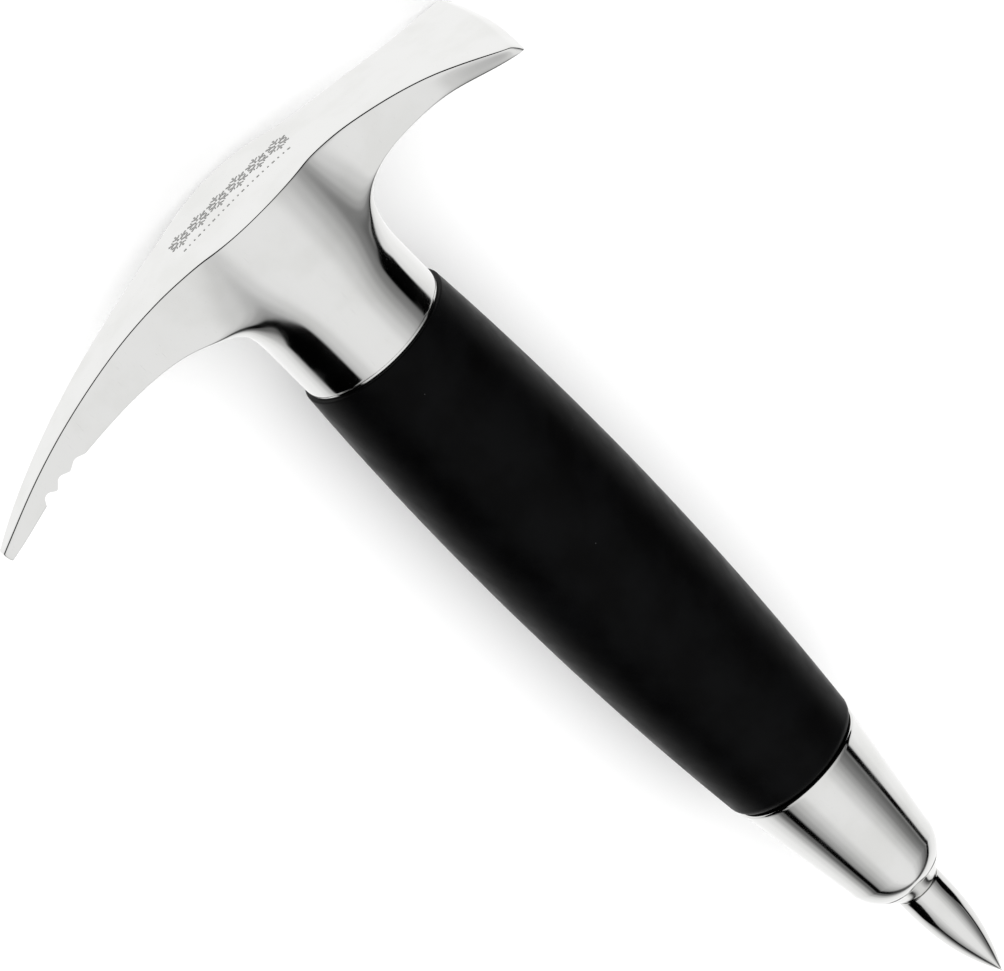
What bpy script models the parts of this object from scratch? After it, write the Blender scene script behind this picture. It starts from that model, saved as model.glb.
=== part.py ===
"""Bar ice axe: a polished steel head with a toothed pick and a flared adze, a barrel-shaped
soft grip clamped on a threaded tang, and a steel ferrule that holds a short spike.

Blender 4.5, metres, +Z up. Every piece is modelled in tool space and hung on one empty:
x runs down the handle's axis, from the crown of the head to the point of the spike, y runs from the
pick to the adze, and z goes across the blade. The empty rolls the tool about its own axis, so that it
lies as it does on a bar top, on its grip and on one corner of the adze.
"""

import math

import bmesh
import bpy
from mathutils import Matrix, Vector

MM = 0.001

# Driving dimensions, in millimetres, measured along the handle from the crown.
OVERALL_LENGTH = 195.0
COLLAR_END = 34.2
GRIP_END = 140.7
FERRULE_NOSE = 172.8

# Radii and half widths, in millimetres.
COLLAR_RADIUS = 13.7
RING_RADIUS = 13.85
GRIP_MAX_RADIUS = 15.8
GRIP_CORE_RADIUS = 10.5
FERRULE_RIM_RADIUS = 12.35
SPIKE_RADIUS = 4.25
ROD_RADIUS = 4.0

# Gaps between pieces that touch, in millimetres.
TOUCH = 0.3

# The crown of the head is an ellipse between the arms, and the top falls away in two arcs.
CROWN_HALF_WIDTH = 13.15
CROWN_HALF_LENGTH = 18.0
COLLAR_START = 21.0

# How much of the crown's extra width is left further down the cheek, at each x.
PICK_CHEEK = ((9.5, 0.92), (13.0, 0.75), (17.0, 0.42), (COLLAR_START, 0.1))
ADZE_CHEEK = ((9.5, 0.95), (13.0, 0.9), (17.0, 0.8), (COLLAR_START, 0.4))
SOCKET_FLOOR = 14.0
PICK_ARC_RADIUS = 120.0
PICK_ARC_START = -10.5
ADZE_ARC_RADIUS = 131.0
ADZE_ARC_START = -2.5
POLL_FLAT_DEPTH = 0.12

# Arm stations, outward: y, half width of the top, x of the underside, half width of the underside.
# The last three of each arm stand close together and turn its end.
PICK_STATIONS = (
    (-18.0, 7.9, 13.8, 6.6),
    (-22.5, 6.75, 11.5, 6.1),
    (-29.0, 5.4, 10.5, 5.0),
    (-37.0, 4.5, 10.5, 4.2),
    (-45.5, 3.6, 11.3, 3.4),
    (-52.0, 3.0, 12.2, 2.8),
    (-57.5, 2.55, 13.6, 2.4),
    (-62.0, 2.2, 15.0, 2.0),
    (-65.8, 1.5, 15.95, 1.4),
    (-66.6, 1.35, 16.1, 1.25),
    (-66.9, 1.2, 16.2, 1.1),
)
ADZE_STATIONS = (
    (17.4, 9.0, 12.5, 8.1),
    (21.5, 9.2, 10.8, 8.8),
    (27.5, 9.8, 10.25, 9.6),
    (33.0, 10.9, 10.2, 10.7),
    (37.2, 12.45, 10.55, 12.3),
    (42.5, 15.3, 11.4, 15.2),
    (45.3, 17.0, 11.8, 16.9),
    (46.6, 17.4, 12.0, 17.3),
    (47.1, 16.9, 12.05, 16.8),
)
PICK_TIP_LEAN = 0.2
BLADE_LEAN = 0.6
BLADE_BULGE = 1.35
END_SHARES = (0.0, 0.5, 1.0, 1.0)
PICK_EDGE = 0.3
ADZE_EDGE = 0.45
EDGE = 0.3

# The tool lies on its grip and on the lower corner of the adze, which touches here.
ADZE_CORNER = (47.17, 17.27)

# Round valleys and round tips of the teeth under the pick, in turn: y, x and radius.
TEETH = (
    ("valley", -47.85, 10.65, 1.45),
    ("tip", -49.85, 11.6, 0.45),
    ("valley", -51.55, 11.0, 1.1),
    ("tip", -53.5, 12.45, 0.4),
    ("valley", -55.0, 11.65, 1.1),
)
TEETH_START = (-44.9, 11.75)
TEETH_END = (-56.9, 14.1)

COLLAR_COLUMNS = 24
SEGMENTS = 40


def clear_scene():
    for obj in list(bpy.data.objects):
        bpy.data.objects.remove(obj, do_unlink=True)


def material(name, colour, roughness, metallic=0.0):
    mat = bpy.data.materials.new(name)
    mat.use_nodes = True
    shader = mat.node_tree.nodes["Principled BSDF"]
    shader.inputs["Base Color"].default_value = (*colour, 1.0)
    shader.inputs["Roughness"].default_value = roughness
    shader.inputs["Metallic"].default_value = metallic
    mat.diffuse_color = (*colour, 1.0)
    return mat


def add_object(name, bm, mat, parent, place=0.0):
    """Turns a bmesh drawn in millimetres into an object at its place along the handle."""
    bmesh.ops.scale(bm, vec=(MM, MM, MM), verts=bm.verts)
    mesh = bpy.data.meshes.new(name)
    bm.to_mesh(mesh)
    bm.free()
    mesh.shade_smooth()
    mesh.set_sharp_from_angle(angle=math.radians(35))
    if mat:
        mesh.materials.append(mat)
    obj = bpy.data.objects.new(name, mesh)
    obj.location.x = place * MM
    obj.parent = parent
    bpy.context.scene.collection.objects.link(obj)
    return obj


def turned(name, outline, mat, parent, place, turn=0.0):
    """Spins an outline of (x, radius) points about the handle's axis. An outline that starts and
    ends on the axis is a solid piece, and any other outline is closed into a ring. Turn is the angle
    by which the finished piece is turned about the axis."""
    bm = bmesh.new()
    verts = [bm.verts.new((x, 0.0, radius)) for x, radius in outline]
    pairs = list(zip(verts, verts[1:]))
    if outline[0][1] > 0.0:
        pairs.append((verts[-1], verts[0]))
    edges = [bm.edges.new(pair) for pair in pairs]
    bmesh.ops.spin(bm, geom=verts + edges, cent=(0, 0, 0), axis=(1, 0, 0), angle=math.tau,
                   steps=SEGMENTS, use_merge=True)
    bmesh.ops.remove_doubles(bm, verts=bm.verts, dist=0.001)
    bmesh.ops.rotate(bm, cent=(0, 0, 0), matrix=Matrix.Rotation(turn, 3, "X"), verts=bm.verts)
    bmesh.ops.recalc_face_normals(bm, faces=bm.faces)
    return add_object(name, bm, mat, parent, place)


def arc(centre_x, centre_r, radius_x, radius_r, start, end, steps):
    """Points of an elliptical arc in (x, radius), with angles in degrees from the +x direction."""
    points = []
    for i in range(steps + 1):
        angle = math.radians(start + (end - start) * i / steps)
        points.append((centre_x + radius_x * math.cos(angle), centre_r + radius_r * math.sin(angle)))
    return points


# ---- Head ------------------------------------------------------------------------------------------

def top_of_head(y):
    """The x of the head's top surface: flat at the crown, with an arc down along each arm."""
    if y < PICK_ARC_START:
        radius, run = PICK_ARC_RADIUS, PICK_ARC_START - y
    else:
        radius, run = ADZE_ARC_RADIUS, max(y - ADZE_ARC_START, 0.0)
    return radius - math.sqrt(radius ** 2 - run ** 2)


def arm_section(y, half_top, under, half_under, edge, lean, bulge):
    """Ten points of half an arm's section, from the middle of the top to the middle of the underside.
    Pairs of points close to each corner keep its radius small."""
    top = top_of_head(y)
    drop = min(edge, (under - top) / 9)
    inset = min(edge, half_top / 4)
    inset_under = min(edge, half_under / 4)
    points = (
        (top, 0.0),
        (top, half_top - 3 * inset),
        (top, half_top - inset),
        (top + drop, half_top),
        (top + 3 * drop, half_top),
        (under - 3 * drop, half_under),
        (under - drop, half_under),
        (under, half_under - inset_under),
        (under, half_under - 3 * inset_under),
        (under, 0.0),
    )
    return [Vector((x, y + lean * (x - top) + bulge * (1 - (z / half_top) ** 2), z)) for x, z in points]


def arm_sections(stations, edge, lean, bulge):
    """Sections of one arm, outward. The last four lean and bulge more and more, to shape its end."""
    shares = (0.0,) * (len(stations) - len(END_SHARES)) + END_SHARES
    return [arm_section(*station, edge, lean * share, bulge * share)
            for station, share in zip(stations, shares)]


def collar_point(degrees, radius, x):
    angle = math.radians(degrees)
    return Vector((x, radius * math.cos(angle), radius * math.sin(angle)))


def crown_column(degrees, radius):
    """Points down the head's cheek between the arms: crown, edge, cheek and the start of the collar."""
    foot = collar_point(degrees, radius, 0.0)
    half_width = CROWN_HALF_WIDTH * math.sqrt(1 - (foot.y / CROWN_HALF_LENGTH) ** 2)
    top = top_of_head(foot.y)
    heights = (
        (top, 0.0),
        (top, half_width - 3 * EDGE),
        (top, half_width - EDGE),
        (top + EDGE, half_width),
        (top + 3 * EDGE, half_width),
    )
    column = [Vector((x, foot.y, z)) for x, z in heights]
    for x, share in ADZE_CHEEK if foot.y > 0 else PICK_CHEEK:
        column.append(Vector((x, foot.y, foot.z + share * (half_width - foot.z))))
    return column


def fillet_columns(corners, angles, radius, waist, foot):
    """Columns from the corner and the underside of an arm to the collar. Waist and foot say how much
    of the arm's width is left in the middle and at the end of the fillet."""
    columns = []
    for start, degrees in zip(corners, angles):
        end = collar_point(degrees, radius, COLLAR_START)
        fillet = fillet_point(start, end)
        fillet.z = end.z + waist * (start.z - end.z)
        end.z += foot * (start.z - end.z)
        columns.append([start, fillet, end])
    return columns


def fillet_point(start, end):
    """The middle of a fillet from an arm's underside to the collar, drawn in towards the corner."""
    middle = (start + end) / 2
    corner = Vector((start.x, end.y, middle.z))
    return middle.lerp(corner, 0.42)


def head_columns(pick, adze, radius):
    """Columns around half the collar, from the adze's side to the pick's, each from the top down.
    The four columns on each arm's side start from the corner and the underside of that arm."""
    collar_whole = COLLAR_START + 4.0
    adze_angles = (0.0, 7.5, 15.0, 22.5)
    crown_angles = range(30, 151, 15)
    pick_angles = (157.5, 165.0, 172.5, 180.0)
    columns = fillet_columns(reversed(adze[0][6:]), adze_angles, radius, 0.95, 0.45)
    columns += [crown_column(degrees, radius) for degrees in crown_angles]
    columns += fillet_columns(pick[0][6:], pick_angles, radius, 0.65, 0.05)
    for column, degrees in zip(columns, (*adze_angles, *crown_angles, *pick_angles)):
        foot = collar_point(degrees, radius, COLLAR_START)
        for x, inset in ((collar_whole, 0.0), (COLLAR_END - 3 * EDGE, 0.0), (COLLAR_END - EDGE, 0.0),
                         (COLLAR_END, EDGE), (COLLAR_END, 3 * EDGE)):
            share = (radius - inset) / radius
            column.append(Vector((x, foot.y * share, foot.z * share)))
    return columns


def head_cage():
    """Half of the head, z >= 0, as the cage of a subdivision surface."""
    ring_share = (2 + math.cos(math.tau / COLLAR_COLUMNS)) / 3
    radius = COLLAR_RADIUS / ring_share
    pick = arm_sections(PICK_STATIONS, PICK_EDGE, PICK_TIP_LEAN, 0.0)
    adze = arm_sections(ADZE_STATIONS, ADZE_EDGE, BLADE_LEAN, BLADE_BULGE)
    columns = head_columns(pick, adze, radius)

    bm = bmesh.new()
    made = {}

    def face(*points):
        verts = []
        for point in points:
            key = tuple(round(value, 5) for value in point)
            if key not in made:
                made[key] = bm.verts.new(point)
            verts.append(made[key])
        bm.faces.new(verts)

    for arm in (pick, adze):
        for near, far in zip(arm, arm[1:]):
            for i in range(9):
                face(near[i], near[i + 1], far[i + 1], far[i])
        end = arm[-1]
        for i in range(4):
            face(end[i], end[i + 1], end[8 - i], end[9 - i])

    crown = columns[4:-4]
    for left, right in zip(crown, crown[1:]):
        for i in range(6):
            face(left[i], left[i + 1], right[i + 1], right[i])
    for arm, column in ((adze[0], crown[0]), (pick[0], crown[-1])):
        for i in range(6):
            face(arm[i], arm[i + 1], column[i + 1], column[i])

    for left, right in zip(columns, columns[1:]):
        for i in range(-8, -1):
            face(left[i], left[i + 1], right[i + 1], right[i])
    face(*[column[-1] for column in columns])
    bmesh.ops.recalc_face_normals(bm, faces=bm.faces)
    return bm


def bore_cutter(name, radius, start, end, parent):
    """A closed cylinder on the handle's axis, from start to end."""
    bm = bmesh.new()
    bmesh.ops.create_cone(bm, cap_ends=True, segments=SEGMENTS, radius1=radius, radius2=radius,
                          depth=end - start)
    turn = Vector((0, 0, 1)).rotation_difference(Vector((1, 0, 0))).to_matrix()
    bmesh.ops.rotate(bm, cent=(0, 0, 0), matrix=turn, verts=bm.verts)
    bmesh.ops.translate(bm, vec=((start + end) / 2, 0, 0), verts=bm.verts)
    return add_cutter(name, bm, parent)


def add_cutter(name, bm, parent):
    cutter = add_object(name, bm, None, parent)
    cutter.hide_render = True
    cutter.display_type = "WIRE"
    return cutter


def cut(obj, cutter):
    modifier = obj.modifiers.new(cutter.name, "BOOLEAN")
    modifier.operation = "DIFFERENCE"
    modifier.solver = "EXACT"
    modifier.object = cutter


def teeth_outline(steps):
    """The line of the teeth in (y, x): arcs round the valleys and the tips in turn, joined by the
    straight lines that touch both. A valley turns the line one way, a tip turns it the other way."""
    circles = [(Vector(TEETH_START), 0.0)]
    for kind, y, x, radius in TEETH:
        turn = radius if kind == "valley" else -radius
        circles.append((Vector((y, x + turn)), turn))
    circles.append((Vector(TEETH_END), 0.0))
    headings = []
    for (centre, turn), (next_centre, next_turn) in zip(circles, circles[1:]):
        span = next_centre - centre
        headings.append(math.atan2(span.y, -span.x) - math.asin((next_turn - turn) / span.length))
    points = [circles[0][0]]
    for (centre, turn), arrive, leave in zip(circles[1:-1], headings, headings[1:]):
        for i in range(steps + 1):
            heading = arrive + (leave - arrive) * i / steps
            points.append(centre - turn * Vector((math.sin(heading), math.cos(heading))))
    points.append(circles[-1][0])
    return points


def teeth_cutter(tool):
    """A comb as wide as the pick and more, under the line of the teeth."""
    depth = 18.0
    half_width = 6.0
    outline = [(TEETH_START[0], depth), *teeth_outline(5), (TEETH_END[0], depth)]
    bm = bmesh.new()
    near = [bm.verts.new((x, y, half_width)) for y, x in outline]
    face = bm.faces.new(near)
    made = bmesh.ops.extrude_face_region(bm, geom=[face])["geom"]
    moved = [item for item in made if isinstance(item, bmesh.types.BMVert)]
    bmesh.ops.translate(bm, vec=(0, 0, -2 * half_width), verts=moved)
    bmesh.ops.recalc_face_normals(bm, faces=bm.faces)
    return add_cutter("teeth_cutter", bm, tool)


def axe_head(steel, tool):
    head = add_object("axe_head", head_cage(), steel, tool)
    mirror = head.modifiers.new("halves", "MIRROR")
    mirror.use_axis = (False, False, True)
    mirror.use_clip = True
    mirror.merge_threshold = 0.00001
    smooth = head.modifiers.new("surface", "SUBSURF")
    smooth.levels = 1
    smooth.render_levels = 1

    cut(head, bore_cutter("socket_cutter", ROD_RADIUS + TOUCH, SOCKET_FLOOR, COLLAR_END + 5, tool))
    cut(head, teeth_cutter(tool))

    bm = bmesh.new()
    size = 40.0
    bmesh.ops.create_cube(bm, size=size)
    bmesh.ops.translate(bm, vec=(POLL_FLAT_DEPTH - size / 2, 0, 0), verts=bm.verts)
    cut(head, add_cutter("poll_flat_cutter", bm, tool))
    return head


# ---- Handle ----------------------------------------------------------------------------------------

RING_START = COLLAR_END + TOUCH
RING_END = RING_START + 0.4
GRIP_START = RING_END + TOUCH
SEAL_RADIUS = 0.8
SEAL_POCKET = 2 * SEAL_RADIUS + 2 * TOUCH
BORE = ROD_RADIUS + TOUCH


def collar_ring(steel, tool):
    edge = 0.1
    length = RING_END - RING_START
    outline = ((0, BORE), (0, RING_RADIUS - edge), (edge, RING_RADIUS), (length - edge, RING_RADIUS),
               (length, RING_RADIUS - edge), (length, BORE))
    return turned("collar_ring", outline, steel, tool, RING_START)


def tang_rod(steel, tool):
    start = SOCKET_FLOOR + 1.0
    length = 160.0 - start
    chamfer = 0.8
    outline = ((0, 0), (0, ROD_RADIUS - chamfer), (chamfer, ROD_RADIUS), (length - chamfer, ROD_RADIUS),
               (length, ROD_RADIUS - chamfer), (length, 0))
    return turned("tang_rod", outline, steel, tool, start)


def grip_core(plastic, tool):
    """The hard core, a tube round the tang with a pocket for a seal at each end."""
    length = GRIP_END - GRIP_START
    pocket = BORE + SEAL_POCKET
    outline = ((0, pocket), (0, GRIP_CORE_RADIUS), (length, GRIP_CORE_RADIUS), (length, pocket),
               (length - SEAL_POCKET, pocket), (length - SEAL_POCKET, BORE), (SEAL_POCKET, BORE),
               (SEAL_POCKET, pocket))
    return turned("grip_core", outline, plastic, tool, GRIP_START)


def grip_radius(x):
    """The barrel's radius at x, one long arc about its widest place."""
    arc_radius = 655.0
    widest = 77.0
    return GRIP_MAX_RADIUS - (arc_radius - math.sqrt(arc_radius ** 2 - (x - widest) ** 2))


def grip_sleeve(rubber, tool):
    """The soft barrel. It is turned so that one of its narrow facets lies flat on the bar top."""
    inner = GRIP_CORE_RADIUS + TOUCH
    top_round = 0.3
    end_round = 2.0
    steps = 14
    body_start = GRIP_START + top_round
    body_end = GRIP_END - end_round
    outline = [(GRIP_START, inner)]
    rim = grip_radius(body_start) - top_round
    outline += arc(body_start, rim, top_round, top_round, 180, 90, 3)
    for i in range(1, steps):
        x = body_start + (body_end - body_start) * i / steps
        outline.append((x, grip_radius(x)))
    foot = grip_radius(body_end) - end_round
    outline += arc(body_end, foot, end_round, end_round, 90, 0, 5)
    outline.append((GRIP_END, inner))
    outline = [(x - GRIP_START, radius) for x, radius in outline]
    facet_turn = math.pi / SEGMENTS - resting_roll()
    return turned("grip_sleeve", outline, rubber, tool, GRIP_START, facet_turn)


def seal(name, place, rubber, tool):
    """An O-ring round the tang, in a pocket of the core."""
    centre = BORE + TOUCH + SEAL_RADIUS
    outline = arc(SEAL_RADIUS, centre, SEAL_RADIUS, SEAL_RADIUS, 0, 360, 10)[:-1]
    return turned(name, outline, rubber, tool, place)


FERRULE_START = GRIP_END + TOUCH
WASHER_START = FERRULE_START
WASHER_END = WASHER_START + 1.2
SPRING_START = WASHER_END + TOUCH
SPRING_END = SPRING_START + 1.4
NUT_START = SPRING_END + TOUCH
NUT_END = NUT_START + 5.0
NUT_FLAT_RADIUS = 6.5
WASHER_RADIUS = 8.0
SPRING_RADIUS = 6.8
CAVITY_RADIUS = 8.4
CAVITY_END = NUT_END + 0.6


def washer(steel, tool):
    length = WASHER_END - WASHER_START
    outline = ((0, BORE), (0, WASHER_RADIUS), (length, WASHER_RADIUS), (length, BORE))
    return turned("clamp_washer", outline, steel, tool, WASHER_START)


def spring_washer(steel, tool):
    """A split lock washer, with a slot through one side."""
    length = SPRING_END - SPRING_START
    outline = ((0, BORE), (0, SPRING_RADIUS), (length, SPRING_RADIUS), (length, BORE))
    ring = turned("spring_washer", outline, steel, tool, SPRING_START)
    bm = bmesh.new()
    bmesh.ops.create_cube(bm, size=1.0)
    bmesh.ops.scale(bm, vec=(6.0, 1.0, 6.0), verts=bm.verts)
    bmesh.ops.translate(bm, vec=(SPRING_START, 0, SPRING_RADIUS), verts=bm.verts)
    cut(ring, add_cutter("spring_slot_cutter", bm, tool))
    return ring


def clamp_nut(steel, tool):
    bm = bmesh.new()
    length = NUT_END - NUT_START
    corner = NUT_FLAT_RADIUS / math.cos(math.pi / 6)
    bmesh.ops.create_cone(bm, cap_ends=True, segments=6, radius1=corner, radius2=corner, depth=length)
    turn = Vector((0, 0, 1)).rotation_difference(Vector((1, 0, 0))).to_matrix()
    bmesh.ops.rotate(bm, cent=(0, 0, 0), matrix=turn, verts=bm.verts)
    bmesh.ops.translate(bm, vec=(length / 2, 0, 0), verts=bm.verts)
    nut = add_object("clamp_nut", bm, steel, tool, NUT_START)
    cut(nut, bore_cutter("nut_bore_cutter", BORE, NUT_START - 1, NUT_END + 1, tool))
    return nut


SHANK_RADIUS = 2.5
SHANK_START = 163.0
NECK_RADIUS = 4.05


def ferrule(steel, tool):
    """A hollow cone with a rounded nose that runs down a steep neck to the spike: a cavity over the
    nut, a threaded bore for the end of the tang, and a hole in the nose for the spike's shank."""
    rim_round = 0.4
    cone_slope = 0.147
    nose_centre = 164.4
    nose_radius = FERRULE_RIM_RADIUS - cone_slope * (nose_centre - FERRULE_START)
    nose_round = 6.2
    nose_reach = 7.0
    neck_round = 32.8
    neck_end = 232
    bore_end = 160.6
    web_radius = 1.2
    outline = [(FERRULE_START, CAVITY_RADIUS)]
    outline += arc(FERRULE_START + rim_round, FERRULE_RIM_RADIUS - rim_round, rim_round, rim_round,
                   180, 90, 3)
    outline += arc(nose_centre, nose_radius - nose_round, nose_reach, nose_round, 81, 40, 7)
    neck_turn = math.radians(neck_end)
    outline += arc(FERRULE_NOSE - neck_round * math.cos(neck_turn),
                   NECK_RADIUS - neck_round * math.sin(neck_turn), neck_round, neck_round, 225, neck_end, 3)
    outline += [
        (FERRULE_NOSE, SHANK_RADIUS + TOUCH),
        (SHANK_START - TOUCH, SHANK_RADIUS + TOUCH),
        (SHANK_START - TOUCH, web_radius),
        (bore_end, web_radius),
        (bore_end, BORE),
        (CAVITY_END, BORE),
        (CAVITY_END, CAVITY_RADIUS),
    ]
    outline = [(x - FERRULE_START, radius) for x, radius in outline]
    return turned("ferrule", outline, steel, tool, FERRULE_START)


def spike(steel, tool):
    """A bullet-shaped point on a plain shank: a short parallel foot, then an ogive."""
    shoulder = FERRULE_NOSE + TOUCH
    foot_end = shoulder + 1.6
    foot_round = 0.25
    length = OVERALL_LENGTH - foot_end
    steps = 10
    outline = [(SHANK_START, 0.0), (SHANK_START, SHANK_RADIUS), (shoulder, SHANK_RADIUS)]
    outline += [(shoulder, SPIKE_RADIUS - foot_round), (shoulder + foot_round, SPIKE_RADIUS)]
    for i in range(steps):
        share = i / steps
        outline.append((foot_end + length * share, SPIKE_RADIUS * (1 - share ** 2.4)))
    outline.append((OVERALL_LENGTH, 0.0))
    outline = [(x - SHANK_START, radius) for x, radius in outline]
    return turned("spike", outline, steel, tool, SHANK_START)


# ---- Resting pose ----------------------------------------------------------------------------------

def resting_roll():
    """How far the tool rolls to lie on its grip and on the adze's corner, which is the lower of the
    two: the line from the corner that touches the grip's circle becomes level."""
    corner_y, corner_z = ADZE_CORNER
    reach = math.hypot(corner_y, corner_z)
    facet_radius = GRIP_MAX_RADIUS * math.cos(math.pi / SEGMENTS)
    return math.atan2(corner_z, corner_y) + math.acos(facet_radius / reach) - math.pi / 2


def settle(tool, pieces):
    """Moves the tool so that the middle of its underside box is at the origin."""
    bpy.context.view_layer.update()
    depsgraph = bpy.context.evaluated_depsgraph_get()
    lows = [math.inf] * 3
    highs = [-math.inf] * 3
    for piece in pieces:
        evaluated = piece.evaluated_get(depsgraph)
        mesh = evaluated.to_mesh()
        for vert in mesh.vertices:
            point = evaluated.matrix_world @ vert.co
            lows = [min(low, value) for low, value in zip(lows, point)]
            highs = [max(high, value) for high, value in zip(highs, point)]
        evaluated.to_mesh_clear()
    tool.location = (-(lows[0] + highs[0]) / 2, -(lows[1] + highs[1]) / 2, -lows[2])


def main():
    clear_scene()
    tool = bpy.data.objects.new("tool_axis", None)
    tool.rotation_euler.x = resting_roll()
    bpy.context.scene.collection.objects.link(tool)

    polished = material("polished_steel", (0.74, 0.74, 0.73), 0.12, 1.0)
    plain = material("plain_steel", (0.50, 0.50, 0.49), 0.35, 1.0)
    soft = material("soft_touch_rubber", (0.014, 0.014, 0.015), 0.62)
    hard = material("core_plastic", (0.03, 0.03, 0.032), 0.45)
    seals = material("seal_rubber", (0.02, 0.02, 0.02), 0.75)

    pieces = [
        axe_head(polished, tool),
        collar_ring(polished, tool),
        tang_rod(plain, tool),
        seal("head_seal", GRIP_START + TOUCH, seals, tool),
        grip_core(hard, tool),
        grip_sleeve(soft, tool),
        seal("ferrule_seal", GRIP_END - TOUCH - 2 * SEAL_RADIUS, seals, tool),
        washer(plain, tool),
        spring_washer(plain, tool),
        clamp_nut(plain, tool),
        ferrule(polished, tool),
        spike(polished, tool),
    ]
    settle(tool, pieces)


main()
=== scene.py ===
"""Looks for the bar ice axe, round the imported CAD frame.

Tool space is the CAD's own: millimetres, x down the handle from the crown of the head, y from the pick
to the adze, z across the blade. TOOL places it in the frame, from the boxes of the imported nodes."""

import math

import bmesh
import bpy
from mathutils import Matrix, Vector
from mathutils.bvhtree import BVHTree


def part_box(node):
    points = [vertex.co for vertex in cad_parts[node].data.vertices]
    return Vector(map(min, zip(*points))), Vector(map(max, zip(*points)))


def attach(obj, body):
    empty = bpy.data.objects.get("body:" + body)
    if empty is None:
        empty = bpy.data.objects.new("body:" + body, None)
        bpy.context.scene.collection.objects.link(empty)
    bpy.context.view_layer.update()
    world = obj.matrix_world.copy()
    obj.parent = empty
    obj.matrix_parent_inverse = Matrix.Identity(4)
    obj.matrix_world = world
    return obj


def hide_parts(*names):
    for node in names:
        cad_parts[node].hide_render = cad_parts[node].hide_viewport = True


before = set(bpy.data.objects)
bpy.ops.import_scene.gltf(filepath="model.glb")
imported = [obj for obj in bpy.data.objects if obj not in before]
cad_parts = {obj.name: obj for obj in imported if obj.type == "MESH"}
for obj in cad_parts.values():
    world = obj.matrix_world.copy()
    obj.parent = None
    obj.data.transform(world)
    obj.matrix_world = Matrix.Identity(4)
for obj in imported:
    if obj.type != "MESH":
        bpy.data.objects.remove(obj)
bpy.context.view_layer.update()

MM = 0.001

# Driving dimensions, the same as the CAD's, in millimetres.
COLLAR_RADIUS = 13.7
GRIP_MAX_RADIUS = 15.8
GRIP_CORE_RADIUS = 10.5
FERRULE_RIM_RADIUS = 12.35
NECK_RADIUS = 4.05
SPIKE_RADIUS = 4.25
SHANK_RADIUS = 2.5
BORE = 4.3
CAVITY_RADIUS = 8.4

# The crown of the head is an ellipse between the arms, and the top falls away in two arcs.
CROWN_HALF_WIDTH = 13.15
CROWN_HALF_LENGTH = 18.0
PICK_ARC_RADIUS = 120.0
PICK_ARC_START = -10.5
ADZE_ARC_RADIUS = 131.0
ADZE_ARC_START = -2.5
POLL_FLAT_DEPTH = 0.12

# How much of the crown's extra width is left further down the cheek, at each x.
COLLAR_START = 21.0
PICK_CHEEK = ((9.5, 0.92), (13.0, 0.75), (17.0, 0.42), (COLLAR_START, 0.1))
ADZE_CHEEK = ((9.5, 0.95), (13.0, 0.9), (17.0, 0.8), (COLLAR_START, 0.4))

# Arm stations, outward: y, half width of the top, x of the underside, half width of the underside.
PICK_STATIONS = (
    (-18.0, 7.9, 13.8, 6.6),
    (-22.5, 6.75, 11.5, 6.1),
    (-29.0, 5.4, 10.5, 5.0),
    (-37.0, 4.5, 10.5, 4.2),
    (-45.5, 3.6, 11.3, 3.4),
    (-52.0, 3.0, 12.2, 2.8),
    (-57.5, 2.55, 13.6, 2.4),
    (-62.0, 2.2, 15.0, 2.0),
    (-65.8, 1.5, 15.95, 1.4),
    (-66.6, 1.35, 16.1, 1.25),
    (-66.9, 1.2, 16.2, 1.1),
)
ADZE_STATIONS = (
    (17.4, 9.0, 12.5, 8.1),
    (21.5, 9.2, 10.8, 8.8),
    (27.5, 9.8, 10.25, 9.6),
    (33.0, 10.9, 10.2, 10.7),
    (37.2, 12.45, 10.55, 12.3),
    (42.5, 15.3, 11.4, 15.2),
    (45.3, 17.0, 11.8, 16.9),
    (46.6, 17.4, 12.0, 17.3),
    (47.1, 16.9, 12.05, 16.8),
)
PICK_TIP_LEAN = 0.2
BLADE_LEAN = 0.6
BLADE_BULGE = 1.35
END_SHARES = (0.0, 0.5, 1.0, 1.0)
PICK_EDGE = 0.3
ADZE_EDGE = 0.45
EDGE = 0.3

# The tool lies on its grip and on the lower corner of the adze, which touches here.
ADZE_CORNER = (47.17, 17.27)

# Round valleys and round tips of the teeth under the pick, in turn: y, x and radius.
TEETH = (
    ("valley", -47.85, 10.65, 1.45),
    ("tip", -49.85, 11.6, 0.45),
    ("valley", -51.55, 11.0, 1.1),
    ("tip", -53.5, 12.45, 0.4),
    ("valley", -55.0, 11.65, 1.1),
)
TEETH_START = (-44.9, 11.75)
TEETH_END = (-56.9, 14.1)

# Points of an arm's section from this one on are its lower corner and its underside.
UNDERSIDE_START = 6

# Points that every column of the head's cage has in common, at its lower end.
SHARED_POINTS = 8

# The thin joint between pieces that touch, and the ring's width and how far it laps the collar.
SEAM = 0.04
RING_WIDTH = 0.55
RING_LAP = 0.35

# How finely the round pieces are turned, here and in the CAD.
SEGMENTS = 160
CAD_SEGMENTS = 40

# Edges sharper than this many degrees stay sharp, and turned points nearer than WELD become one.
SHARP_ANGLE = 38
WELD = 0.0005


def resting_roll():
    """How far the CAD rolls the tool, to lie on a facet of its grip and on the adze's corner."""
    corner_y, corner_z = ADZE_CORNER
    reach = math.hypot(corner_y, corner_z)
    facet_radius = GRIP_MAX_RADIUS * math.cos(math.pi / CAD_SEGMENTS)
    return math.atan2(corner_z, corner_y) + math.acos(facet_radius / reach) - math.pi / 2


# The handle's axis runs through the middle of the collar ring, and the crown is the head's lowest x.
crown = sum(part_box("collar_ring"), Vector()) / 2
crown.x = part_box("axe_head")[0].x - POLL_FLAT_DEPTH * MM
TOOL = Matrix.Translation(crown) @ Matrix.Rotation(resting_roll(), 4, "X")


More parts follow.
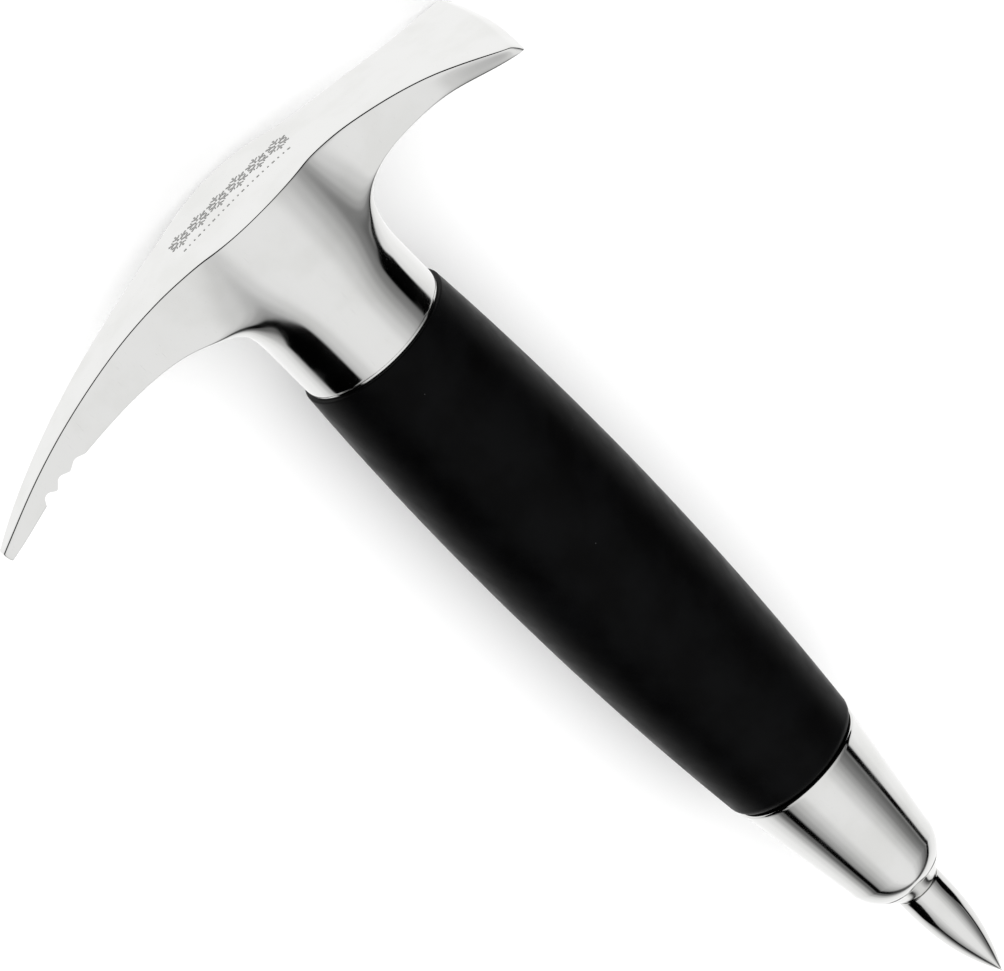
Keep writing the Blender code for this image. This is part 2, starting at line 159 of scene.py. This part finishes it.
def station(name, side):
    """Where a node starts (side 0) or ends (side 1) along the handle, in millimetres."""
    return (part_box(name)[side].x - crown.x) / MM


COLLAR_END = station("axe_head", 1)
GRIP_END = station("grip_sleeve", 1)
FERRULE_NOSE = station("ferrule", 1)
OVERALL_LENGTH = station("spike", 1)
RING_START = COLLAR_END - RING_LAP
RING_END = RING_START + RING_WIDTH
GRIP_START = RING_END + SEAM
FERRULE_START = GRIP_END + SEAM


# ---- Making pieces ---------------------------------------------------------------------------------

def add_piece(name, bm, mat, slot, *nodes):
    """Makes a piece from a bmesh in tool space. It stands for the CAD nodes named, if any."""
    mesh = bpy.data.meshes.new(name)
    bm.to_mesh(mesh)
    bm.free()
    mesh.transform(TOOL @ Matrix.Scale(MM, 4))
    mesh.shade_smooth()
    mesh.set_sharp_from_angle(angle=math.radians(SHARP_ANGLE))
    mesh.materials.append(mat)
    obj = bpy.data.objects.new(name, mesh)
    bpy.context.scene.collection.objects.link(obj)
    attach(obj, "root")
    if nodes:
        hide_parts(*nodes)
    return obj


def turned(name, outline, mat, slot, *nodes):
    """Spins an outline of (x, radius) points about the handle's axis."""
    bm = bmesh.new()
    verts = [bm.verts.new((x, 0.0, radius)) for x, radius in outline]
    pairs = list(zip(verts, verts[1:]))
    if outline[0][1] > 0.0:
        pairs.append((verts[-1], verts[0]))
    edges = [bm.edges.new(pair) for pair in pairs]
    bmesh.ops.spin(bm, geom=verts + edges, cent=(0, 0, 0), axis=(1, 0, 0), angle=math.tau,
                   steps=SEGMENTS, use_merge=True)
    bmesh.ops.remove_doubles(bm, verts=bm.verts, dist=WELD)
    bmesh.ops.recalc_face_normals(bm, faces=bm.faces)
    return add_piece(name, bm, mat, slot, *nodes)


def arc(centre_x, centre_r, radius_x, radius_r, start, end, steps):
    """Points of an elliptical arc in (x, radius), with angles in degrees from the +x direction."""
    points = []
    for i in range(steps + 1):
        angle = math.radians(start + (end - start) * i / steps)
        points.append((centre_x + radius_x * math.cos(angle), centre_r + radius_r * math.sin(angle)))
    return points


# ---- Head ------------------------------------------------------------------------------------------

def top_of_head(y):
    """The x of the head's top surface: flat at the crown, with an arc down along each arm."""
    if y < PICK_ARC_START:
        radius, run = PICK_ARC_RADIUS, PICK_ARC_START - y
    else:
        radius, run = ADZE_ARC_RADIUS, max(y - ADZE_ARC_START, 0.0)
    return radius - math.sqrt(radius ** 2 - run ** 2)


def arm_section(y, half_top, under, half_under, edge, lean, bulge):
    """Ten points of half an arm's section, from the middle of the top to the middle of the underside.
    Pairs of points close to each corner keep its radius small."""
    top = top_of_head(y)
    drop = min(edge, (under - top) / 9)
    inset = min(edge, half_top / 4)
    inset_under = min(edge, half_under / 4)
    points = (
        (top, 0.0),
        (top, half_top - 3 * inset),
        (top, half_top - inset),
        (top + drop, half_top),
        (top + 3 * drop, half_top),
        (under - 3 * drop, half_under),
        (under - drop, half_under),
        (under, half_under - inset_under),
        (under, half_under - 3 * inset_under),
        (under, 0.0),
    )
    return [Vector((x, y + lean * (x - top) + bulge * (1 - (z / half_top) ** 2), z)) for x, z in points]


def arm_sections(stations, edge, lean, bulge):
    """Sections of one arm, outward. The last four lean and bulge more and more, to shape its end."""
    shares = (0.0,) * (len(stations) - len(END_SHARES)) + END_SHARES
    return [arm_section(*station, edge, lean * share, bulge * share)
            for station, share in zip(stations, shares)]


def collar_point(degrees, radius, x):
    angle = math.radians(degrees)
    return Vector((x, radius * math.cos(angle), radius * math.sin(angle)))


def crown_column(degrees, radius):
    """Points down the head's cheek between the arms: crown, edge, cheek and the start of the collar."""
    foot = collar_point(degrees, radius, 0.0)
    half_width = CROWN_HALF_WIDTH * math.sqrt(1 - (foot.y / CROWN_HALF_LENGTH) ** 2)
    top = top_of_head(foot.y)
    heights = (
        (top, 0.0),
        (top, half_width - 3 * EDGE),
        (top, half_width - EDGE),
        (top + EDGE, half_width),
        (top + 3 * EDGE, half_width),
    )
    column = [Vector((x, foot.y, z)) for x, z in heights]
    for x, share in ADZE_CHEEK if foot.y > 0 else PICK_CHEEK:
        column.append(Vector((x, foot.y, foot.z + share * (half_width - foot.z))))
    return column


def fillet_columns(corners, angles, radius, waist, foot):
    """Columns from the corner and the underside of an arm to the collar. Waist and foot say how much
    of the arm's width is left in the middle and at the end of the fillet."""
    columns = []
    for start, degrees in zip(corners, angles):
        end = collar_point(degrees, radius, COLLAR_START)
        fillet = fillet_point(start, end)
        fillet.z = end.z + waist * (start.z - end.z)
        end.z += foot * (start.z - end.z)
        columns.append([start, fillet, end])
    return columns


def fillet_point(start, end):
    """The middle of a fillet from an arm's underside to the collar, drawn in towards the corner."""
    draw = 0.42
    middle = (start + end) / 2
    corner = Vector((start.x, end.y, middle.z))
    return middle.lerp(corner, draw)


def head_columns(pick, adze, radius):
    """Columns around half the collar, from the adze's side to the pick's, each from the top down.
    The four columns on each arm's side start from the corner and the underside of that arm."""
    collar_whole = COLLAR_START + 4.0
    adze_angles = (0.0, 7.5, 15.0, 22.5)
    crown_angles = range(30, 151, 15)
    pick_angles = (157.5, 165.0, 172.5, 180.0)
    columns = fillet_columns(reversed(adze[0][UNDERSIDE_START:]), adze_angles, radius,
                             waist=0.95, foot=0.45)
    columns += [crown_column(degrees, radius) for degrees in crown_angles]
    columns += fillet_columns(pick[0][UNDERSIDE_START:], pick_angles, radius, waist=0.65, foot=0.05)
    for column, degrees in zip(columns, (*adze_angles, *crown_angles, *pick_angles)):
        foot = collar_point(degrees, radius, COLLAR_START)
        for x, inset in ((collar_whole, 0.0), (COLLAR_END - 3 * EDGE, 0.0), (COLLAR_END - EDGE, 0.0),
                         (COLLAR_END, EDGE), (COLLAR_END, 3 * EDGE)):
            share = (radius - inset) / radius
            column.append(Vector((x, foot.y * share, foot.z * share)))
    return columns


def head_cage():
    """The cage of the head's subdivision surface: half of it, mirrored over z = 0. The surface runs
    inside the cage by ring_share where the columns are 15 degrees apart."""
    ring_share = (2 + math.cos(math.radians(15))) / 3
    radius = COLLAR_RADIUS / ring_share
    pick = arm_sections(PICK_STATIONS, PICK_EDGE, PICK_TIP_LEAN, 0.0)
    adze = arm_sections(ADZE_STATIONS, ADZE_EDGE, BLADE_LEAN, BLADE_BULGE)
    columns = head_columns(pick, adze, radius)
    mirror_weld = 0.0001
    bm = bmesh.new()
    made = {}

    def face(*points):
        verts = []
        for point in points:
            key = tuple(round(value, 5) for value in point)
            if key not in made:
                made[key] = bm.verts.new(point)
            verts.append(made[key])
        bm.faces.new(verts)

    for arm in (pick, adze):
        for near, far in zip(arm, arm[1:]):
            for i in range(len(near) - 1):
                face(near[i], near[i + 1], far[i + 1], far[i])
        end = arm[-1]
        for i in range(len(end) // 2 - 1):
            face(end[i], end[i + 1], end[-2 - i], end[-1 - i])
    fillets = len(pick[0]) - UNDERSIDE_START
    crown_columns = columns[fillets:-fillets]
    for left, right in zip(crown_columns, crown_columns[1:]):
        for i in range(UNDERSIDE_START):
            face(left[i], left[i + 1], right[i + 1], right[i])
    for arm, column in ((adze[0], crown_columns[0]), (pick[0], crown_columns[-1])):
        for i in range(UNDERSIDE_START):
            face(arm[i], arm[i + 1], column[i + 1], column[i])
    for left, right in zip(columns, columns[1:]):
        for i in range(-SHARED_POINTS, -1):
            face(left[i], left[i + 1], right[i + 1], right[i])
    face(*[column[-1] for column in columns])
    bmesh.ops.mirror(bm, geom=bm.verts[:] + bm.edges[:] + bm.faces[:], axis="Z", merge_dist=mirror_weld)
    bmesh.ops.recalc_face_normals(bm, faces=bm.faces)
    return bm


def teeth_outline(steps):
    """The line of the teeth in (y, x): arcs round the valleys and the tips in turn, joined by the
    straight lines that touch both. A valley turns the line one way, a tip turns it the other way."""
    circles = [(Vector(TEETH_START), 0.0)]
    for kind, y, x, radius in TEETH:
        turn = radius if kind == "valley" else -radius
        circles.append((Vector((y, x + turn)), turn))
    circles.append((Vector(TEETH_END), 0.0))
    headings = []
    for (centre, turn), (next_centre, next_turn) in zip(circles, circles[1:]):
        span = next_centre - centre
        headings.append(math.atan2(span.y, -span.x) - math.asin((next_turn - turn) / span.length))
    points = [circles[0][0]]
    for (centre, turn), arrive, leave in zip(circles[1:-1], headings, headings[1:]):
        for i in range(steps + 1):
            heading = arrive + (leave - arrive) * i / steps
            points.append(centre - turn * Vector((math.sin(heading), math.cos(heading))))
    points.append(circles[-1][0])
    return points


def scratch_object(name, mesh):
    obj = bpy.data.objects.new(name, mesh)
    bpy.context.scene.collection.objects.link(obj)
    return obj


def mesh_of(bm, name):
    mesh = bpy.data.meshes.new(name)
    bm.to_mesh(mesh)
    bm.free()
    return mesh


def teeth_comb():
    """A prism under the line of the teeth, wider than the pick."""
    depth = 18.0
    half_width = 6.0
    outline = [(TEETH_START[0], depth), *teeth_outline(steps=14), (TEETH_END[0], depth)]
    bm = bmesh.new()
    face = bm.faces.new([bm.verts.new((x, y, half_width)) for y, x in outline])
    made = bmesh.ops.extrude_face_region(bm, geom=[face])["geom"]
    moved = [item for item in made if isinstance(item, bmesh.types.BMVert)]
    bmesh.ops.translate(bm, vec=(0, 0, -2 * half_width), verts=moved)
    bmesh.ops.recalc_face_normals(bm, faces=bm.faces)
    return mesh_of(bm, "teeth_comb")


def steel_head(steel):
    """Subdivides the cage, cuts the teeth and keeps the result, so that the cut's edges stay sharp.
    Returns the head's surface in tool space, for dropping the crown's marks on to."""
    levels = 3
    body = scratch_object("head_body", mesh_of(head_cage(), "head_body"))
    comb = scratch_object("teeth_comb", teeth_comb())
    surface = body.modifiers.new("surface", "SUBSURF")
    surface.levels = levels
    surface.render_levels = levels
    teeth = body.modifiers.new("teeth", "BOOLEAN")
    teeth.operation = "DIFFERENCE"
    teeth.solver = "EXACT"
    teeth.object = comb
    depsgraph = bpy.context.evaluated_depsgraph_get()
    bm = bmesh.new()
    bm.from_object(body, depsgraph)
    bpy.data.objects.remove(body)
    bpy.data.objects.remove(comb)
    tree = BVHTree.FromBMesh(bm)
    add_piece("steel_head", bm, steel, "polished_steel", "axe_head")
    return tree


def crown_marks(tree, etched):
    """A generic etched ornament along the crown: a row of six-pointed crystals over a dotted line.
    Each point is dropped along the handle on to the head."""
    bm = bmesh.new()
    lift = 0.03
    above = -10.0

    def mark(outline):
        verts = []
        for y, z in outline:
            hit = tree.ray_cast(Vector((above, y, z)), Vector((1, 0, 0)))[0]
            verts.append(bm.verts.new((hit.x - lift, y, z)))
        bm.faces.new(verts)

    crystals = 6
    row_start = -11.2
    pitch = 4.4
    row_z = -2.8
    long_reach = 2.3
    short_reach = 0.42
    half_stroke = 0.2
    barb_place = 0.45
    barb_turn = 50
    barb_reach = 0.75
    half_barb = 0.13
    for i in range(crystals):
        y = row_start + pitch * i
        for arm in range(6):
            turn = math.radians(60 * arm + 30)
            tip = Vector((math.cos(turn), math.sin(turn)))
            side = Vector((-tip.y, tip.x)) * half_stroke
            foot = Vector((y, row_z)) + tip * short_reach
            end = Vector((y, row_z)) + tip * long_reach
            mark((foot - side, end - side, end + side, foot + side))
            for barb in (-1, 1):
                twig = Matrix.Rotation(math.radians(barb_turn * barb), 2) @ tip
                root = foot.lerp(end, barb_place) + side * barb
                width = twig.orthogonal() * half_barb
                point = root + twig * barb_reach
                mark((root - width, point - width, point + width, root + width))
    dots = 22
    overhang = 0.6
    dot_length = 0.32
    dash_length = 0.6
    low = 1.35
    high = 1.75
    for i in range(dots):
        y = row_start - overhang + (pitch * (crystals - 1) + 2 * overhang) * i / (dots - 1)
        length = dot_length if i % 3 else dash_length
        left = y - length / 2
        right = y + length / 2
        mark(((left, low), (right, low), (right, high), (left, high)))
    bmesh.ops.recalc_face_normals(bm, faces=bm.faces)
    for face in bm.faces:
        if face.normal.x > 0:
            face.normal_flip()
    add_piece("crown_marks", bm, etched, "polished_steel")


# ---- Handle ----------------------------------------------------------------------------------------

def collar_ring(steel):
    edge = 0.05
    radius = COLLAR_RADIUS + edge
    outline = [(RING_START, BORE), (RING_START, radius - edge)]
    outline += arc(RING_START + edge, radius - edge, edge, edge, 180, 90, 3)
    outline += arc(RING_END - edge, radius - edge, edge, edge, 90, 0, 3)
    outline.append((RING_END, BORE))
    return turned("thin_ring", outline, steel, "polished_steel", "collar_ring")


def grip_radius(x):
    """The barrel's radius at x, one long arc about its widest place."""
    arc_radius = 655.0
    widest = 77.0
    return GRIP_MAX_RADIUS - (arc_radius - math.sqrt(arc_radius ** 2 - (x - widest) ** 2))


def grip_sleeve(rubber):
    inner = GRIP_CORE_RADIUS + 0.3
    top_round = 0.3
    end_round = 2.0
    steps = 48
    body_start = GRIP_START + top_round
    body_end = GRIP_END - end_round
    outline = [(GRIP_START, inner)]
    outline += arc(body_start, grip_radius(body_start) - top_round, top_round, top_round, 180, 90, 6)
    for i in range(1, steps):
        x = body_start + (body_end - body_start) * i / steps
        outline.append((x, grip_radius(x)))
    outline += arc(body_end, grip_radius(body_end) - end_round, end_round, end_round, 90, 0, 12)
    outline.append((GRIP_END, inner))
    return turned("soft_grip", outline, rubber, "soft_touch_rubber", "grip_sleeve")


def ferrule(steel):
    """A hollow cone with a rounded nose that runs down a short neck to the spike."""
    rim_round = 0.4
    cone_slope = 0.147
    nose_centre = 164.4
    nose_radius = FERRULE_RIM_RADIUS - cone_slope * (nose_centre - FERRULE_START)
    nose_round = 6.2
    nose_reach = 7.0
    nose_start_angle = 81
    nose_end_angle = 40
    neck_round = 32.8
    neck_start_angle = 225
    neck_end_angle = 232
    hole = SHANK_RADIUS + 0.3
    hole_end = FERRULE_NOSE - 10.0
    cavity_end = FERRULE_START + 9.0
    outline = [(FERRULE_START, CAVITY_RADIUS)]
    outline += arc(FERRULE_START + rim_round, FERRULE_RIM_RADIUS - rim_round, rim_round, rim_round,
                   180, 90, 5)
    for x in (FERRULE_START + 2 * rim_round, nose_centre):
        outline.append((x, FERRULE_RIM_RADIUS - cone_slope * (x - FERRULE_START)))
    outline += arc(nose_centre, nose_radius - nose_round, nose_reach, nose_round,
                   nose_start_angle, nose_end_angle, 24)
    neck_turn = math.radians(neck_end_angle)
    outline += arc(FERRULE_NOSE - neck_round * math.cos(neck_turn),
                   NECK_RADIUS - neck_round * math.sin(neck_turn), neck_round, neck_round,
                   neck_start_angle, neck_end_angle, 10)
    outline += [(FERRULE_NOSE, hole), (hole_end, hole), (hole_end, BORE),
                (cavity_end, BORE), (cavity_end, CAVITY_RADIUS)]
    return turned("steel_ferrule", outline, steel, "polished_steel", "ferrule")


def spike(steel):
    """A bullet-shaped point: a short parallel foot, then an ogive down to a fine rounded tip."""
    shoulder = FERRULE_NOSE + 0.1
    foot_end = shoulder + 1.6
    foot_round = 0.25
    shank = 8.0
    ogive_power = 2.4
    length = OVERALL_LENGTH - foot_end
    steps = 30
    outline = [(shoulder - shank, 0.0), (shoulder - shank, SHANK_RADIUS), (shoulder, SHANK_RADIUS)]
    outline += arc(shoulder + foot_round, SPIKE_RADIUS - foot_round, foot_round, foot_round, 180, 90, 4)
    for i in range(steps):
        share = i / steps
        outline.append((foot_end + length * share, SPIKE_RADIUS * (1 - share ** ogive_power)))
    outline.append((OVERALL_LENGTH, 0.0))
    return turned("steel_spike", outline, steel, "polished_steel", "spike")


# ---- Materials -------------------------------------------------------------------------------------

class Graph:
    """A material's node tree, with short calls for the nodes used here."""

    def __init__(self, name, metallic, **sockets):
        self.material = bpy.data.materials.new(name)
        self.material.use_nodes = True
        self.tree = self.material.node_tree
        self.shader = self.tree.nodes["Principled BSDF"]
        self.shader.inputs["Metallic"].default_value = metallic
        for socket, value in sockets.items():
            self.shader.inputs[socket.replace("_", " ")].default_value = value

    def node(self, kind, **settings):
        made = self.tree.nodes.new("ShaderNode" + kind)
        for setting, value in settings.items():
            setattr(made, setting, value)
        return made

    def link(self, output, target):
        self.tree.links.new(output, target)

    def place(self, stretch=(1, 1, 1)):
        """The object's own coordinates, in millimetres, stretched."""
        coordinates = self.node("TexCoord")
        mapping = self.node("Mapping")
        mapping.inputs["Scale"].default_value = [value / MM for value in stretch]
        self.link(coordinates.outputs["Object"], mapping.inputs["Vector"])
        return mapping.outputs["Vector"]

    def noise(self, scale, detail=3.0, stretch=(1, 1, 1), rough=0.5):
        made = self.node("TexNoise")
        made.inputs["Scale"].default_value = scale
        made.inputs["Detail"].default_value = detail
        made.inputs["Roughness"].default_value = rough
        self.link(self.place(stretch), made.inputs["Vector"])
        return made.outputs["Fac"]

    def cells(self, scale):
        made = self.node("TexVoronoi")
        made.inputs["Scale"].default_value = scale
        self.link(self.place(), made.inputs["Vector"])
        return made.outputs["Distance"]

    def spread(self, value, low, high, to_low, to_high):
        """The value mapped smoothly from low..high to to_low..to_high."""
        made = self.node("MapRange", interpolation_type="SMOOTHSTEP")
        ranges = {"From Min": low, "From Max": high, "To Min": to_low, "To Max": to_high}
        for socket, number in ranges.items():
            made.inputs[socket].default_value = number
        self.link(value, made.inputs["Value"])
        return made.outputs["Result"]

    def blend(self, share, colour, other):
        """Colours mixed by share. Each is three numbers or another blend's output."""
        made = self.node("Mix", data_type="RGBA")
        self.link(share, made.inputs[0])
        for socket, value in ((made.inputs[6], colour), (made.inputs[7], other)):
            if isinstance(value, tuple):
                socket.default_value = (*value, 1.0)
            else:
                self.link(value, socket)
        return made.outputs[2]

    def bump(self, *layers):
        """Bumps in a row, each a (height, distance in millimetres) pair."""
        normal = None
        for height, distance in layers:
            made = self.node("Bump")
            made.inputs["Distance"].default_value = distance * MM
            self.link(height, made.inputs["Height"])
            if normal:
                self.link(normal, made.inputs["Normal"])
            normal = made.outputs["Normal"]
        self.link(normal, self.shader.inputs["Normal"])

    def colour(self, output):
        self.link(output, self.shader.inputs["Base Color"])

    def roughness(self, output):
        self.link(output, self.shader.inputs["Roughness"])


def polished_steel():
    """Mirror polish: faint handling smudges, hairline scratches and a slow waviness."""
    graph = Graph("polished_steel", 1.0)
    smudge = graph.spread(graph.noise(0.11, 4.0), 0.42, 0.68, 0.0, 1.0)
    hairline = graph.spread(graph.noise(1.0, 2.0, (0.25, 9.0, 9.0)), 0.68, 0.78, 0.0, 1.0)
    clean = graph.blend(smudge, (0.80, 0.80, 0.79), (0.765, 0.765, 0.75))
    graph.colour(graph.blend(hairline, clean, (0.70, 0.70, 0.69)))
    graph.roughness(graph.spread(graph.noise(0.16, 5.0), 0.35, 0.72, 0.055, 0.12))
    graph.bump((graph.noise(0.09, 1.0), 0.02), (hairline, 0.0006))
    return graph.material


def etched_steel():
    """Laser-etched steel, grey and matt, a little uneven."""
    graph = Graph("etched_steel", 1.0)
    grain = graph.noise(6.0, 4.0)
    patches = graph.spread(grain, 0.35, 0.65, 0.0, 1.0)
    graph.colour(graph.blend(patches, (0.38, 0.38, 0.37), (0.54, 0.54, 0.53)))
    graph.roughness(graph.spread(grain, 0.3, 0.7, 0.45, 0.7))
    graph.bump((grain, 0.01))
    return graph.material


def soft_touch():
    """Black soft-touch rubber: a fine eggshell grain, slow colour variation, and stray dust."""
    graph = Graph("soft_touch_rubber", 0.0, IOR=1.13)
    cloud = graph.spread(graph.noise(0.12, 3.0), 0.35, 0.7, 0.0, 1.0)
    body = graph.blend(cloud, (0.0006, 0.0006, 0.0007), (0.0014, 0.0015, 0.0017))
    dust = graph.spread(graph.cells(0.22), 0.024, 0.014, 0.0, 1.0)
    graph.colour(graph.blend(dust, body, (0.035, 0.035, 0.036)))
    graph.roughness(graph.spread(graph.noise(0.3, 5.0), 0.3, 0.7, 0.33, 0.43))
    graph.bump((graph.noise(5.0, 2.0), 0.012), (graph.noise(0.35, 2.0), 0.03))
    return graph.material


def machined_steel():
    """Turned steel, as on the tang, the washers and the nut, with rings from the tool."""
    graph = Graph("plain_steel", 1.0)
    rings = graph.noise(1.0, 3.0, (14.0, 0.3, 0.3))
    graph.colour(graph.blend(rings, (0.44, 0.44, 0.43), (0.57, 0.57, 0.56)))
    graph.roughness(graph.spread(rings, 0.3, 0.7, 0.28, 0.45))
    graph.bump((rings, 0.01))
    return graph.material


def moulded_plastic():
    """The core's black plastic, with a spark-eroded mould finish."""
    graph = Graph("core_plastic", 0.0)
    grain = graph.noise(3.0, 4.0)
    graph.colour(graph.blend(grain, (0.025, 0.025, 0.027), (0.036, 0.036, 0.038)))
    graph.roughness(graph.spread(grain, 0.3, 0.7, 0.4, 0.55))
    graph.bump((grain, 0.02))
    return graph.material


def seal_rubber():
    """The O-rings' nitrile, dull with a bloom."""
    graph = Graph("seal_rubber", 0.0)
    bloom = graph.noise(1.4, 5.0)
    graph.colour(graph.blend(bloom, (0.014, 0.014, 0.014), (0.03, 0.03, 0.03)))
    graph.roughness(graph.spread(bloom, 0.3, 0.7, 0.65, 0.85))
    graph.bump((bloom, 0.01))
    return graph.material


def paper():
    """Matt white paper sweep, barely mottled."""
    graph = Graph("white_paper", 0.0, Roughness=0.9)
    mottle = graph.noise(0.02, 4.0)
    graph.colour(graph.blend(mottle, (0.815, 0.815, 0.815), (0.835, 0.835, 0.835)))
    graph.bump((graph.noise(1.5, 2.0), 0.01))
    return graph.material


# ---- Studio ----------------------------------------------------------------------------------------

def studio_floor():
    half_size = 4.0
    bm = bmesh.new()
    bmesh.ops.create_grid(bm, x_segments=1, y_segments=1, size=half_size)
    obj = scratch_object("studio_floor", mesh_of(bm, "studio_floor"))
    obj.data.materials.append(paper())
    obj.visible_glossy = False


def studio_light():
    """An even white dome lights the floor. Glossy rays alone see other surroundings, chosen to shade
    the steel: a softbox above, bright ground below and dark between them, and a black flag all round
    near the horizon, deep at the sides and behind the head, thin and paler past the spike's end."""
    world = bpy.data.worlds.new("studio")
    world.cycles.sampling_method = "NONE"
    bpy.context.scene.world = world
    world.use_nodes = True
    tree = world.node_tree

    def node(kind, *values, **settings):
        made = tree.nodes.new("ShaderNode" + kind)
        for setting, value in settings.items():
            setattr(made, setting, value)
        for socket, value in zip(made.inputs, values):
            if isinstance(value, (int, float)):
                socket.default_value = value
            else:
                tree.links.new(value, socket)
        return made.outputs[0]

    def math_node(operation, *values):
        return node("Math", *values, operation=operation)

    def spread(value, low, high, to_low, to_high):
        return node("MapRange", value, low, high, to_low, to_high, interpolation_type="SMOOTHSTEP")

    # The flag's height and half depth are the z of a direction. Both grow at the sides and behind.
    flag_height = 0.07
    side_rise = 0.03
    behind_rise = 0.04
    flag_depth = 0.075
    side_depth = 0.225
    side_depth_slope = -0.07
    behind_depth = 0.06
    soft_edge = 0.03
    black = 0.003
    pale = 0.35
    split = tree.nodes.new("ShaderNodeSeparateXYZ")
    coordinates = tree.nodes.new("ShaderNodeTexCoord")
    tree.links.new(coordinates.outputs["Generated"], split.inputs[0])
    x, y, z = split.outputs
    level = math_node("SQRT", math_node("ADD", math_node("MULTIPLY", x, x), math_node("MULTIPLY", y, y)))
    along = math_node("DIVIDE", x, math_node("MAXIMUM", level, 0.001))
    side = spread(along, 0.56, 0.48, 0.0, 1.0)
    behind = spread(along, -0.2, -0.8, 0.0, 1.0)
    centre = math_node("MULTIPLY_ADD", behind, behind_rise, flag_height)
    centre = math_node("MULTIPLY_ADD", side, side_rise, centre)
    reach = math_node("MULTIPLY_ADD", y, side_depth_slope, side_depth)
    depth = math_node("MULTIPLY_ADD", side, reach, flag_depth)
    depth = math_node("MULTIPLY_ADD", behind, behind_depth, depth)
    past = math_node("SUBTRACT", math_node("ABSOLUTE", math_node("SUBTRACT", z, centre)), depth)
    ahead = spread(along, 0.8, 0.98, black, pale)
    gap = spread(past, -soft_edge, soft_edge, ahead, 1.0)

    # The softbox tilts a little to the pick's side. The shades run from facing away to facing it.
    tilt_y = -0.19
    tilt_z = 0.98
    shades = ((-1.0, 1.06), (-0.6, 1.0), (-0.34, 0.86), (-0.1, 0.5), (0.1, 0.14), (0.35, 0.24),
              (0.5, 0.4), (0.65, 0.57), (0.8, 0.74), (0.93, 0.92), (1.0, 0.94))
    ramp = tree.nodes.new("ShaderNodeValToRGB")
    ramp.color_ramp.interpolation = "EASE"
    across = math_node("SQRT", math_node("ADD", math_node("MULTIPLY", z, z), math_node("MULTIPLY", y, y)))
    facing = math_node("MULTIPLY_ADD", y, tilt_y, math_node("MULTIPLY", z, tilt_z))
    facing = math_node("DIVIDE", facing, math_node("MAXIMUM", across, 0.001))
    tree.links.new(math_node("MULTIPLY_ADD", facing, 0.5, 0.5), ramp.inputs[0])
    elements = ramp.color_ramp.elements
    while len(elements) < len(shades):
        elements.new(0.5)
    for element, (share, shade) in zip(elements, shades):
        element.position = (share + 1) / 2
        element.color = (shade, shade, shade, 1.0)
    reflected = math_node("MULTIPLY", gap, ramp.outputs[0])

    dome = 1.75
    backdrop = 1.0
    path = tree.nodes.new("ShaderNodeLightPath")
    plain = spread(path.outputs["Is Camera Ray"], 0.0, 1.0, dome, backdrop)
    gain = math_node("SUBTRACT", reflected, plain)
    shade = math_node("MULTIPLY_ADD", path.outputs["Is Glossy Ray"], gain, plain)
    tree.links.new(shade, tree.nodes["Background"].inputs["Color"])


def camera():
    """Looks steeply down from the crown's end, rolled so that the handle runs from the upper left to
    the lower right."""
    azimuth = math.radians(281.9)
    elevation = math.radians(65.31)
    roll = math.radians(122.17)
    target = Vector((-0.02806, 0.00661, 0.015))
    distance = 2.5
    level = math.cos(elevation)
    forward = Vector((-level * math.sin(azimuth), level * math.cos(azimuth), -math.sin(elevation)))
    right = forward.cross(Vector((0, 0, 1))).normalized()
    up = right.cross(forward)
    turned_right = right * math.cos(roll) + up * math.sin(roll)
    turned_up = up * math.cos(roll) - right * math.sin(roll)
    data = bpy.data.cameras.new("camera")
    data.sensor_width = 36.0
    data.lens = 555.0
    obj = bpy.data.objects.new("camera", data)
    bpy.context.scene.collection.objects.link(obj)
    pose = Matrix((turned_right, turned_up, -forward)).transposed().to_4x4()
    pose.translation = target - forward * distance
    obj.matrix_world = pose
    bpy.context.scene.camera = obj


def dress_inner_nodes():
    """The pieces inside the handle stay as the CAD made them, with materials of their own."""
    plain = machined_steel()
    seals = seal_rubber()
    looks = {"tang_rod": plain, "clamp_washer": plain, "spring_washer": plain, "clamp_nut": plain,
             "grip_core": moulded_plastic(), "head_seal": seals, "ferrule_seal": seals}
    for name, mat in looks.items():
        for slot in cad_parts[name].material_slots:
            slot.material = mat


def main():
    steel = polished_steel()
    tree = steel_head(steel)
    crown_marks(tree, etched_steel())
    collar_ring(steel)
    grip_sleeve(soft_touch())
    ferrule(steel)
    spike(steel)
    dress_inner_nodes()
    studio_floor()
    studio_light()
    camera()
    bpy.context.scene.view_settings.view_transform = "Standard"


main()
